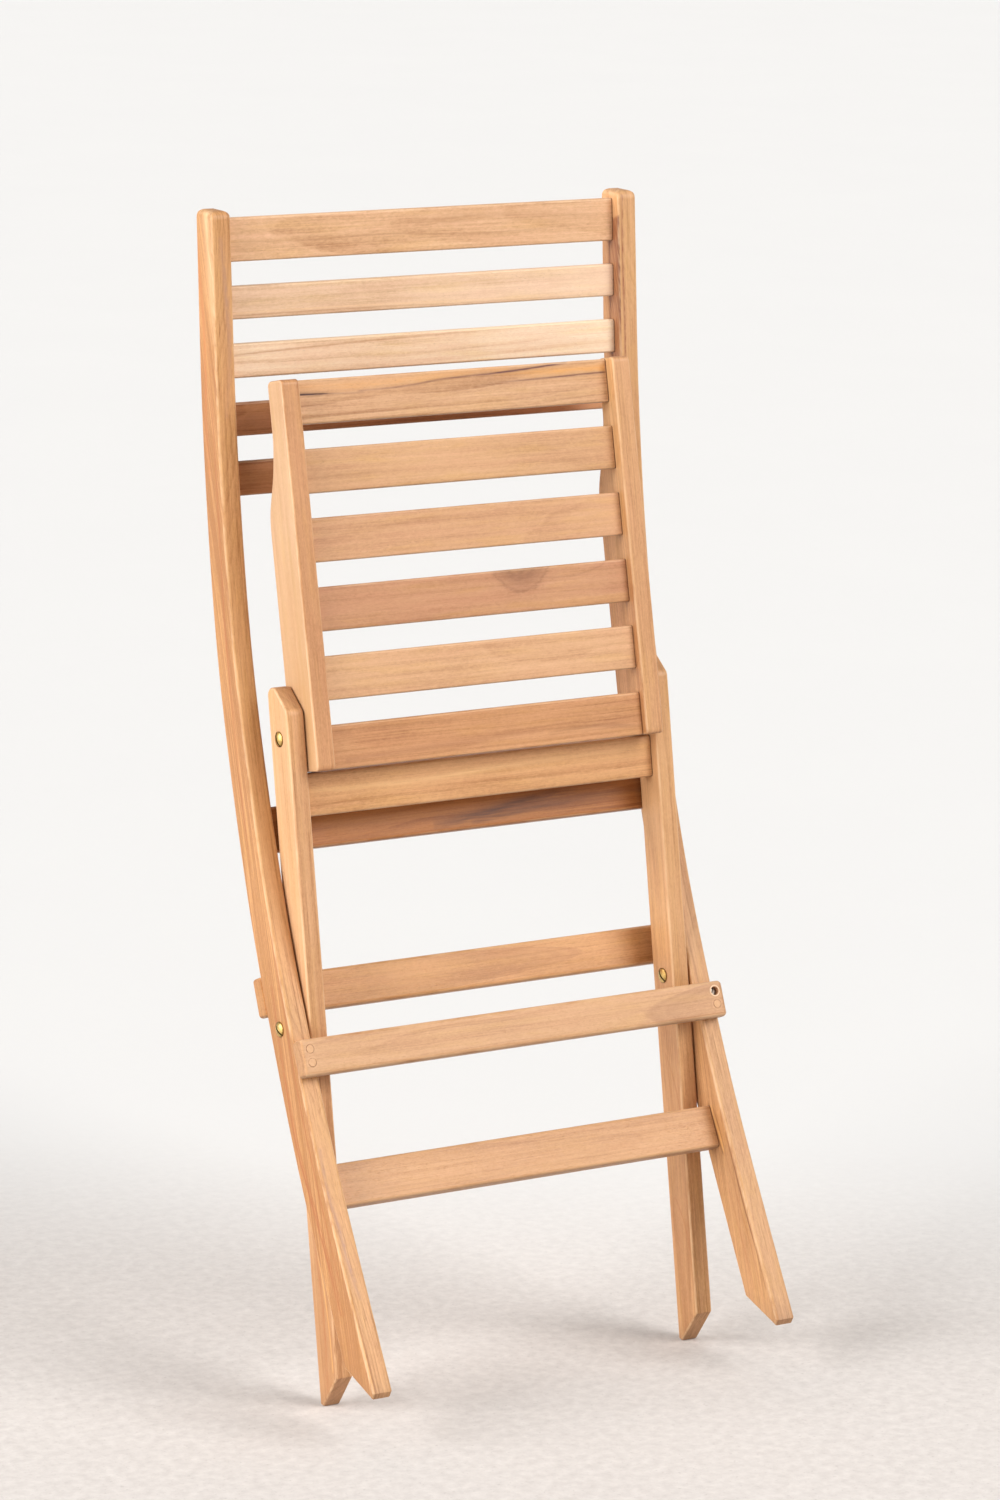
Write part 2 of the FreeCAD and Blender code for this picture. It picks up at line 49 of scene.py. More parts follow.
def put(sock, v):
    if isinstance(v, Val):
        NT[0].links.new(v.s, sock)
    elif isinstance(v, bpy.types.NodeSocket):
        NT[0].links.new(v, sock)
    else:
        sock.default_value = v


def op(kind, a, b=None, c=None, clamp=False):
    n = NT[0].nodes.new("ShaderNodeMath")
    n.operation = kind
    n.use_clamp = clamp
    put(n.inputs[0], a)
    if b is not None:
        put(n.inputs[1], b)
    if c is not None:
        put(n.inputs[2], c)
    return Val(n.outputs[0])


def sqrt(a): return op("SQRT", a)
def absv(a): return op("ABSOLUTE", a)
def clamp(a): return op("ADD", a, 0.0, clamp=True)
def minv(a, b): return op("MINIMUM", a, b)
def maxv(a, b): return op("MAXIMUM", a, b)


def step(a, lo, hi):
    """0 below lo, 1 above hi, smooth between."""
    n = NT[0].nodes.new("ShaderNodeMapRange")
    n.interpolation_type = "SMOOTHSTEP"
    put(n.inputs["Value"], a)
    put(n.inputs["From Min"], lo)
    put(n.inputs["From Max"], hi)
    return Val(n.outputs["Result"])


def bell(a, sigma):
    q = a / sigma
    return op("EXPONENT", -(q * q))


def vec(x, y, z):
    n = NT[0].nodes.new("ShaderNodeCombineXYZ")
    put(n.inputs[0], x)
    put(n.inputs[1], y)
    put(n.inputs[2], z)
    return n.outputs[0]


def noise(x, y, z, detail=2.0, rough=0.5, distortion=0.0):
    n = NT[0].nodes.new("ShaderNodeTexNoise")
    n.noise_dimensions = "3D"
    put(n.inputs["Vector"], vec(x, y, z))
    n.inputs["Scale"].default_value = 1.0
    n.inputs["Detail"].default_value = detail
    n.inputs["Roughness"].default_value = rough
    n.inputs["Distortion"].default_value = distortion
    return Val(n.outputs[0])


def white(w):
    n = NT[0].nodes.new("ShaderNodeTexWhiteNoise")
    n.noise_dimensions = "1D"
    put(n.inputs["W"], w)
    return Val(n.outputs["Value"])


def curve(x, pts, lo, hi):
    """Smooth curve through (x, y) points, for x from lo to hi; y is from -1 to 1."""
    n = NT[0].nodes.new("ShaderNodeFloatCurve")
    c = n.mapping.curves[0]
    span = float(hi - lo)
    pp = [((p[0] - lo) / span, p[1] * 0.5 + 0.5) for p in pts]
    c.points[0].location = pp[0]
    c.points[1].location = pp[-1]
    for p in pp[1:-1]:
        c.points.new(*p)
    n.mapping.update()
    put(n.inputs["Value"], clamp((x - lo) / span))
    return (Val(n.outputs[0]) - 0.5) * 2.0


def mix(f, a, b, kind="MIX"):
    n = NT[0].nodes.new("ShaderNodeMix")
    n.data_type = "RGBA"
    n.blend_type = kind
    n.clamp_factor = True
    put(n.inputs[0], f)
    put(n.inputs[6], a)
    put(n.inputs[7], b)
    return n.outputs[2]


def scale_color(col, f):
    n = NT[0].nodes.new("ShaderNodeVectorMath")
    n.operation = "SCALE"
    put(n.inputs[0], col)
    put(n.inputs["Scale"], f)
    return n.outputs[0]


def new_material(name):
    m = bpy.data.materials.new(name)
    m.use_nodes = True
    nt = m.node_tree
    for n in list(nt.nodes):
        nt.nodes.remove(n)
    NT[0] = nt
    out = nt.nodes.new("ShaderNodeOutputMaterial")
    b = nt.nodes.new("ShaderNodeBsdfPrincipled")
    nt.links.new(b.outputs[0], out.inputs[0])
    return m, b


def coords(o, a, u, v):
    """Grain coordinates in mm: along the grain, across the width, through the thickness; and the face normal in the same axes."""
    nt = NT[0]
    tc = nt.nodes.new("ShaderNodeTexCoord")
    rot = Matrix((a, u, v))
    eul = rot.to_euler("XYZ")
    mp = nt.nodes.new("ShaderNodeMapping")
    mp.vector_type = "POINT"
    mp.inputs["Scale"].default_value = (1000, 1000, 1000)
    mp.inputs["Rotation"].default_value = eul
    off = rot @ Vector(o) * -1000.0
    mp.inputs["Location"].default_value = off
    nt.links.new(tc.outputs["Object"], mp.inputs["Vector"])
    sp = nt.nodes.new("ShaderNodeSeparateXYZ")
    nt.links.new(mp.outputs[0], sp.inputs[0])
    mn = nt.nodes.new("ShaderNodeMapping")
    mn.vector_type = "VECTOR"
    mn.inputs["Rotation"].default_value = eul
    nt.links.new(tc.outputs["Normal"], mn.inputs["Vector"])
    sn = nt.nodes.new("ShaderNodeSeparateXYZ")
    nt.links.new(mn.outputs[0], sn.inputs[0])
    so = nt.nodes.new("ShaderNodeSeparateXYZ")
    nt.links.new(tc.outputs["Object"], so.inputs[0])
    return [Val(s) for s in sp.outputs], [Val(s) for s in sn.outputs], [Val(s) for s in so.outputs]


# ------------------------------------------------------------------ teak
def times(c, k):
    """A colour scaled per channel."""
    return tuple(min(1.0, x * y) for x, y in zip(c[:3], k)) + (1.0,)


def teak(name, fr, seed, mid=srgb(202, 155, 113), spacing=4.2, pith=(6.0, -70.0), tilt=(0.0, 0.0), warp=7.0,
         rings=0.22, broad=0.8, fine=0.7, patch=0.5, shimmer=0.3, hue=0.5, streaks=(), noses=(), eyes=(),
         shoulder=None, plate=False, bores=None, open_bore=None, foot=0.0, dirt=0.0, end_dark=0.86, gloss=0.0, crisp=0.12, tint=(), sides=()):
    m, bsdf = new_material("teak_" + name)
    (l, w, t), (nl, nw, nv), (ox, oy, oz) = coords(*fr)
    sd = seed * 37.13
    lo = times(mid, (0.64, 0.53, 0.42))
    hi = times(mid, (1.24, 1.34, 1.50))
    # edge colour: sanding wear together with a painted highlight
    rubbed_and_highlit = tuple((x + y) / 2.0 for x, y in zip(times(mid, (1.24, 1.3, 1.3)), srgb(248, 218, 180)))

    # growth rings about a far pith that wanders along the board
    big = noise(l / 300.0 + sd, w / 60.0, t / 60.0, 2.0) - 0.5
    small = noise(l / 60.0 + sd * 1.7, w / 14.0, t / 14.0, 2.0) - 0.5
    dw = w - pith[0] - l * tilt[0]
    dt = t - pith[1] - l * tilt[1]
    r = sqrt(dw * dw + dt * dt) + big * (2.4 * warp) + small * (0.3 * warp)
    uneven = noise(r / (spacing * 5.0), sd, 0.3, 1.0) - 0.5
    ph = r / spacing + uneven * 3.0
    f = op("FRACT", ph)
    rid = op("FLOOR", ph)
    rnd = white(rid + sd)
    late = step(f, 0.3, 0.9) * (1.0 - step(f, 0.9, 1.0))
    vary = noise(l / 90.0 + sd, w / 20.0, 3.1, 1.0)
    late = late * (0.2 + rnd * 1.1) * (0.3 + vary * 1.4)

    # fibre at several scales; on a plate's edges the figure runs along the edge
    wf = w * (step(absv(nv), 0.5, 0.8) * 0.88 + 0.12) if plate else w
    bro = noise(l / 330.0 + sd, wf / 5.5, t / 5.5, 3.0, 0.55) - 0.5
    fin = noise(l / 42.0 + sd, wf / 0.8, t / 0.8, 3.0, 0.6) - 0.5
    fib = noise(l / 7.0 + sd, wf / 0.3, t / 0.3, 2.0, 0.6) - 0.5
    pat = noise(l / 130.0 + sd * 2.1, w / 45.0, t / 45.0, 2.0) - 0.5
    shi = noise(l / 6.0 + sd, wf / 2.6 + bro * 2.0, t / 2.6, 2.0, 0.55, 0.6) - 0.5
    lin = noise(l / 130.0 + sd * 1.9, wf / 1.7 + big * 5.0, t / 1.7, 3.0, 0.62)
    lin2 = noise(l / 80.0 + sd * 2.3, wf / 1.2 + small * 3.0, t / 1.2, 2.0, 0.6)
    drk = step(lin, 0.55, 0.63) * (0.4 + vary * 1.1) + step(lin2, 0.6, 0.66) * 0.5
    lgt = step(0.47 - lin, 0.02, 0.09) * (0.4 + vary)
    san = noise(l / 2.6 + sd * 0.9, wf / 1.1, t / 1.1, 2.0, 0.65) - 0.5
    por = noise(l / 3.2 + sd * 1.3, wf / 0.38, t / 0.38, 1.0, 0.4)
    pore = step(por, 0.62, 0.74) * (0.45 + 0.55 * (1.0 - step(f, 0.15, 0.7)))

    tone = bro * (0.95 * broad) + fin * (0.6 * fine) + fib * (0.5 * fine) + pat * patch + shi * shimmer + san * 0.34 \
        - (drk - 0.22) * crisp + (lgt - 0.2) * (crisp * 0.7) \
        + (rnd - 0.5) * (0.3 * rings) - (late - 0.16) * rings
    for (lc, hw, amount) in tint:
        tone = tone + bell(l - lc, hw) * amount
    # sides: painted light and shade, one face of the piece made lighter or darker
    for axis, sign, amount, *cast in sides:
        tone = tone + step((nl, nw, nv)[axis] * sign, 0.45, 0.9) * amount
    col = mix(clamp(tone * -2.0), mid, lo)
    col = mix(clamp(tone * 2.0), col, hi)
    pink = noise(l / 75.0 + sd * 0.7, w / 9.0, t / 9.0, 3.0, 0.55)
    col = mix(step(pink, 0.42, 0.7) * hue, col, mix(1.0, col, (1.0, 0.955, 0.99, 1.0), "MULTIPLY"))
    col = mix((1.0 - step(pink, 0.3, 0.5)) * hue, col, mix(1.0, col, (1.0, 1.0, 0.84, 1.0), "MULTIPLY"))

    # sides with a colour: a painted colour cast of the light on that face
    for axis, sign, amount, *cast in sides:
        if cast:
            col = mix(step((nl, nw, nv)[axis] * sign, 0.45, 0.9), col, mix(1.0, col, cast[0] + (1.0,), "MULTIPLY"))

    rag = noise(l / 26.0 + sd, w / 1.6, t / 3.0, 3.0, 0.6) - 0.5
    for pts, strength, sigma, shade, *only in streaks:
        lo_l, hi_l = pts[0][0], pts[-1][0]
        wc = curve(l, [(p[0], p[1] / 40.0) for p in pts], lo_l, hi_l) * 40.0
        st = curve(l, [(p[0], p[1]) for p in strength], strength[0][0], strength[-1][0])
        inside = step(l, lo_l - 0.5, lo_l + 4.0) * (1.0 - step(l, hi_l - 4.0, hi_l + 0.5))
        d = (t if len(only) > 1 else w) - wc + rag * (sigma * 1.2)
        mk = (bell(d, sigma) * 0.9 + bell(d, sigma * 2.6) * 0.2) * st * inside * (0.8 + rag * 1.8)
        if len(only) > 1:
            mk = mk * step(-nw, 0.3, 0.7)
        elif only:
            mk = mk * step(nv * only[0], 0.3, 0.7)
        col = mix(clamp(mk), col, shade)
    for (l0, w0, direction, k, strength, fade, shade) in noses:
        q = (l - l0) * direction - (w - w0) * (w - w0) * k + rag * 7.0 + small * 6.0
        ins = step(q, -1.0, 4.0) * (1.0 - step(q, fade * 0.3, fade))
        line = bell(q, 2.2)
        band = op("SINE", q / 3.4) * 0.16 * (1.0 - step(q, 10.0, fade))
        col = mix(clamp(ins * (band + 0.75) * strength + line * (strength * 0.6)), col, shade)
    for (l0, w0, ea, eb, strength, shade) in eyes:
        dl, dh = (l - l0) / ea, (w - w0) / eb
        knot = noise(l / 9.0 + sd, w / 4.0, t / 4.0, 3.0, 0.6) - 0.5
        q = sqrt(dl * dl + dh * dh) + rag * 0.3 + small * 0.4 + knot * 0.35
        ins = 1.0 - step(q, 0.55, 1.04)
        ring = op("SINE", q * 17.0 + knot * 5.0) * 0.14 + 0.8
        rim = bell(q - 0.98, 0.07) * 0.55
        halo = 1.0 - step(q, 0.9, 1.7)
        col = mix(clamp(ins * ring * strength + rim * strength + halo * (strength * 0.12)), col, shade)

    # pores, end grain, arrises, joints
    col = scale_color(col, 1.0 - pore * 0.17)
    end = step(absv(nl), 0.5, 0.85)
    speck = noise(l / 2.0, w / 0.55, t / 0.55, 2.0, 0.7)
    endcol = scale_color(mix(0.3, col, lo), end_dark + (speck - 0.5) * 0.5 - late * 0.12)
    col = mix(end, col, endcol)
    if plate:
        # broad faces look along X: arrises lie between X and everything else
        arr = absv(nv) * sqrt(clamp(1.0 - nv * nv)) * 2.0
    else:
        arr = absv(nw * nv) * 2.0
    arr = step(arr, 0.3, 0.95) * (1.0 - end * 0.6)
    worn = noise(l / 34.0 + sd, w / 6.0, t / 6.0, 3.0, 0.6)
    arr = arr * step(worn, 0.3, 0.62)
    # arrises lightened: partly sanding wear, partly a painted highlight along the edge
    col = mix(arr * (0.52 if plate else 0.45), col, rubbed_and_highlit)
    # painted shade: faces of a bar that look down are darkened
    if not plate:
        col = scale_color(col, 1.0 - step(-nw, 0.25, 0.85) * 0.3)
    # dark line and smear at the shoulders: partly glue, partly painted shade in the joint gap
    if shoulder:
        d = shoulder - absv(l)
        jl = 1.0 - step(d, 0.5, 1.5)
        smear_and_shade = (1.0 - step(d, 0.0, 5.0)) * step(noise(l / 3.0, w / 3.0 + sd, t / 3.0, 3.0), 0.52, 0.7)
        col = mix(clamp(jl * 0.76 + smear_and_shade * 0.2), col, srgb(96, 56, 30))
    if bores:
        dm = None
        for (bl, bw) in bores:
            dl, dh = absv(l) - bl, w - bw
            d = sqrt(dl * dl + dh * dh)
            dm = d if dm is None else minv(dm, d)
        seam = (1.0 - step(absv(dm - 4.1), 0.15, 0.5)) * step(worn, 0.4, 0.6)
        col = mix(seam * 0.4, col, lo)
        # painted highlight: a light ring just outside each plug's seam
        col = mix(bell(dm - 4.9, 0.7) * 0.3, col, hi)
        # open counterbore: a painted highlight ring on its rim, a painted dark outline outside it, and its inside
        # painted light brown in place of the shade in the hole
        if open_bore:
            dl, dh = l - open_bore[0], w - open_bore[1]
            d = sqrt(dl * dl + dh * dh)
            col = mix(bell(d - 4.7, 0.6) * 0.7, col, srgb(246, 214, 176))
            col = mix(bell(d - 5.9, 0.35) * 0.35, col, lo)
            col = mix(1.0 - step(d, 3.9, 4.2), col, srgb(214, 160, 118))
    if dirt:
        # soiling where the foot meets the ground
        dz = oz * 1000.0 + (noise(ox * 120.0, oy * 120.0, oz * 120.0, 3.0, 0.6) - 0.5) * 14.0 - foot
        soil = (1.0 - step(dz, 0.0, 20.0)) * (0.55 + (1.0 - step(dz, -4.0, 5.0)) * 0.45)
        col = mix(soil * dirt, col, srgb(118, 88, 66))
    put(bsdf.inputs["Base Color"], col)

    rough = 0.46 + fin * 0.16 + pore * 0.16 + end * 0.2 - arr * 0.07 + pat * 0.12 - gloss
    put(bsdf.inputs["Roughness"], clamp(rough))
    bsdf.inputs["Specular IOR Level"].default_value = 0.42
    bsdf.inputs["Sheen Weight"].default_value = 0.06
    bsdf.inputs["Sheen Roughness"].default_value = 0.5
    h = fin * 0.55 + fib * 0.35 - pore * 1.1 - late * 0.2 + end * (speck - 0.5) * 1.6
    bp = NT[0].nodes.new("ShaderNodeBump")
    bp.inputs["Strength"].default_value = 0.5
    bp.inputs["Distance"].default_value = 0.0002
    put(bp.inputs["Height"], h)
    NT[0].links.new(bp.outputs[0], bsdf.inputs["Normal"])
    return m


def assign(node, mat):
    ob = nodes[node]
    ob.data.materials.clear()
    ob.data.materials.append(mat)
    for p in ob.data.polygons:
        p.material_index = 0


# ------------------------------------------------------------------ grain frames
def verts(node):
    ob = nodes[node]
    co = np.zeros(len(ob.data.vertices) * 3, np.float32)
    ob.data.vertices.foreach_get("co", co)
    return co.reshape(-1, 3).astype(float)


def bar_frame(node):
    """A straight bar along X: width axis up the bar's face, thickness axis to the front."""
    yz = verts(node)[:, 1:]
    q = yz - yz.mean(0)
    e, ev = np.linalg.eigh(q.T @ q)
    up = ev[:, 1] if ev[1, 1] > 0 else -ev[:, 1]
    out = np.array([-up[1], up[0]])
    c = up * ((yz @ up).max() + (yz @ up).min()) / 2 + out * ((yz @ out).max() + (yz @ out).min()) / 2
    return Vector((0, c[0], c[1])), Vector((1, 0, 0)), Vector((0, up[0], up[1])), Vector((0, out[0], out[1]))


def side_frame(node, lean_deg, org):
    """A side piece in the Y-Z plane: grain along the lean, width to the rear, thickness along X."""
    a = math.radians(lean_deg)
    return (Vector(org), Vector((0, math.sin(a), math.cos(a))), Vector((0, math.cos(a), -math.sin(a))), Vector((-1, 0, 0)))


T = {}
FACE = {
    # mean colour of each piece; back_slat_4 and back_slat_5 are darkened as painted shade from the seat in front of
    # them
    "back_slat_1": (218, 172, 130), "back_slat_2": (224, 187, 152), "back_slat_3": (239, 205, 170),
    "back_slat_4": (181, 125, 84), "back_slat_5": (171, 116, 72),
    "seat_slat_1": (206, 159, 117), "seat_slat_2": (208, 160, 116), "seat_slat_3": (207, 157, 115),
    "seat_slat_4": (194, 141, 101), "seat_slat_5": (212, 164, 121), "seat_slat_6": (197, 141, 94),
    "seat_support_rail": (174, 111, 57), "leg_top_rail": (210, 157, 106), "low_stretcher": (202, 151, 105),
    "front_cross_rail": (203, 155, 111), "rear_cross_rail": (208, 153, 100),
    "stile_left": (205, 152, 99), "stile_right": (199, 149, 101), "leg_left": (206, 155, 109), "leg_right": (204, 154, 106),
    "seat_rail_left": (203, 148, 102), "seat_rail_right": (206, 154, 107),
}

bars = {
    "back_slat_1": dict(seed=1, crisp=0.15, shoulder=200.5, spacing=7.0, pith=(10, -60), tilt=(0.02, 0.05), rings=0.2, shimmer=0.55, broad=1.1, warp=3.0,
                        # painted light: the tint at 230 lifts the right end
                        tint=[(230, 200, 0.1), (40, 30, -0.06)],
                        streaks=[([(-30, 9.0), (10, 7.5), (60, 10.0), (120, 8.0), (200, 2.0)], [(-30, 0.1), (30, 0.4), (70, 0.3), (140, 0.3), (200, 0.1)], 3.4, srgb(168, 116, 74)),
                                 ([(-200, -2.0), (-120, -3.5), (-40, -2.0), (60, -6.0), (140, -4.0)], [(-200, 0.2), (-120, 0.3), (0, 0.3), (80, 0.35), (140, 0.1)], 0.9, srgb(160, 108, 68))]),
    # painted light: the tint at 230 lifts the right end; the pale and dark lines near the bottom edge are a painted
    # highlight and painted shade of the bottom arris
    "back_slat_2": dict(seed=2, crisp=0.07, shoulder=200.5, spacing=3.2, pith=(-4, -160), rings=0.18, tint=[(230, 200, 0.34)],
                        streaks=[([(-200, -9.5), (-60, -9.0), (60, -10.5), (200, -9.0)], [(-200, 0.6), (0, 0.5), (200, 0.2)], 0.8, srgb(240, 200, 156)),
                                 ([(-200, -11.5), (-60, -11.2), (60, -12.6), (200, -11.5)], [(-200, 0.5), (0, 0.3), (200, 0.1)], 0.5, srgb(168, 116, 74))]),
    # painted light: the tint at 230 lifts the right end
    "back_slat_3": dict(seed=3, crisp=0.07, shoulder=200.5, spacing=4.6, pith=(18, -50), tilt=(0.03, 0.0), rings=0.22, tint=[(230, 190, 0.32)],
                        streaks=[([(-200, 5.0), (-120, 8.5), (-40, 11.0), (60, 13.0), (200, 13.5)], [(-200, 0.5), (-60, 0.5), (60, 0.25), (200, 0.1)], 0.9, srgb(176, 116, 72))]),
    # painted light and shadow: the tint at 160 lightens the lit strip, the tint at 0 darkens where the seat shades it
    "back_slat_4": dict(seed=4, crisp=0.2, shoulder=200.5, spacing=4.0, rings=0.3, tint=[(160, 52, 0.6), (0, 80, -0.3)]),
    "back_slat_5": dict(seed=5, crisp=0.2, shoulder=200.5, spacing=4.6, rings=0.3),
    "seat_support_rail": dict(seed=6, crisp=0.2, shoulder=200.5, spacing=6.0, rings=0.3, tint=[(-110, 80, 0.1), (130, 90, -0.12)], pith=(-30, -40), tilt=(0.04, 0.0), broad=1.0,
                              streaks=[([(-40, -14.0), (10, -8.0), (60, 0.0), (120, 6.0), (200, 9.0)], [(-40, 0.3), (20, 0.8), (80, 0.65), (140, 0.3), (200, 0.5)], 4.2, srgb(96, 58, 42)),
                                       ([(0, -15.0), (60, -9.0), (110, -5.0), (200, -3.0)], [(0, 0.3), (50, 0.55), (110, 0.3), (200, 0.4)], 2.4, srgb(92, 56, 42))]),
    # painted shadow: the tint at 210 darkens the right end
    "low_stretcher": dict(seed=7, shoulder=200.5, spacing=7.0, pith=(0, -30), rings=0.14, broad=0.7, hue=0.3, tint=[(210, 70, -0.08), (-150, 80, 0.07)]),
    "front_cross_rail": dict(seed=8, spacing=5.0, pith=(0, -45), tilt=(0.0, 0.02), rings=0.16, broad=0.6, bores=[(212.0, 7.6), (212.0, -4.7)], open_bore=(212.0, 7.6),
                             noses=[(136.0, -6.0, 1, 0.16, 0.34, 70.0, srgb(150, 100, 66))]),
    "rear_cross_rail": dict(seed=9, spacing=6.0, pith=(0, -45), rings=0.18, broad=0.6,
                            # painted shadow: the tint at 185 darkens the right end
                            noses=[(112.0, 2.0, -1, 0.5, 0.3, 150.0, srgb(164, 108, 72))], tint=[(185, 26, -0.15), (-170, 60, -0.1), (-60, 60, 0.09)]),
    "leg_top_rail": dict(seed=10, shoulder=181.5, spacing=5.0, pith=(12, -60), rings=0.2, broad=0.7, shimmer=0.4, tint=[(-150, 50, -0.1), (160, 40, 0.06)],
                         streaks=[([(-180, 3.7), (-60, 2.7), (40, 6.7), (180, 7.7)], [(-180, 0.3), (-20, 0.7), (80, 0.4), (180, 0.1)], 2.2, srgb(232, 186, 132))]),
    "seat_slat_1": dict(seed=11, crisp=0.15, shoulder=162.0, spacing=4.2, pith=(22, -40), tilt=(0.05, 0.0), rings=0.22, shimmer=0.45,
                        streaks=[([(-162, 13.0), (-60, 12.5), (0, 15.5), (60, 17.8)], [(-162, 0.4), (-60, 0.5), (0, 0.5), (60, 0.3)], 3.8, srgb(224, 160, 88)),
                                 ([(40, 14.0), (110, 11.5), (162, 12.0)], [(40, 0.2), (110, 0.75), (162, 0.8)], 3.6, srgb(226, 162, 86)),
                                 ([(-162, 7.0), (-133, 6.0), (-90, 5.1)], [(-162, 1.5), (-136, 1.4), (-124, 0.5), (-90, 0.2)], 0.8, srgb(72, 38, 30)),
                                 ([(-100, 6.6), (-49, 8.1), (-13, 11.6), (48, 14.0), (92, 16.6), (123, 19.4)], [(-100, 0.3), (-40, 0.6), (20, 0.7), (60, 1.1), (100, 1.0), (123, 0.5)], 0.9, srgb(104, 62, 56)),
                                 ([(20, 3.0), (72, 5.6), (110, 6.4), (162, 7.8)], [(20, 0.1), (80, 0.6), (130, 1.0), (162, 0.8)], 0.9, srgb(106, 66, 54))]),
    "seat_slat_2": dict(seed=12, crisp=0.05, hue=0.7, shoulder=162.0, spacing=5.2, pith=(0, -90), rings=0.14, broad=0.7),
    "seat_slat_3": dict(seed=13, crisp=0.06, hue=0.7, shoulder=162.0, spacing=5.6, pith=(-20, -60), tilt=(0.05, 0.02), rings=0.18, broad=0.7),
    "seat_slat_4": dict(seed=14, crisp=0.07, shoulder=162.0, spacing=6.4, pith=(14, -50), rings=0.2, broad=0.7, hue=0.9, shimmer=0.35,
                        eyes=[(50.0, 21.5, 27.0, 23.0, 0.6, srgb(130, 84, 56))],
                        streaks=[([(60, 12.0), (100, 9.0), (126, 13.0), (140, 18.0)], [(60, 0.2), (100, 0.3), (126, 0.35), (140, 0.2)], 0.9, srgb(146, 94, 66))]),
    "seat_slat_5": dict(seed=15, crisp=0.07, shoulder=162.0, spacing=4.8, pith=(8, -80), rings=0.15, broad=0.7, tint=[(60, 60, 0.05)]),
    "seat_slat_6": dict(seed=16, crisp=0.15, shoulder=162.0, spacing=6.0, pith=(16, -40), tilt=(0.05, 0.0), rings=0.22, broad=0.8, shimmer=0.35,
                        streaks=[([(60, -9.0), (110, -7.0), (162, -12.0)], [(60, 0.2), (120, 0.5), (162, 0.3)], 2.0, srgb(142, 92, 60)),
                                 ([(-150, -13.0), (-60, -9.0), (60, -6.0)], [(-150, 0.35), (-60, 0.35), (60, 0.2)], 2.6, srgb(154, 100, 68))]),
}
for name, kw in bars.items():
    fr = bar_frame(name)
    T[name] = fr
    assign(name, teak(name, fr, mid=srgb(*FACE[name]), **kw))

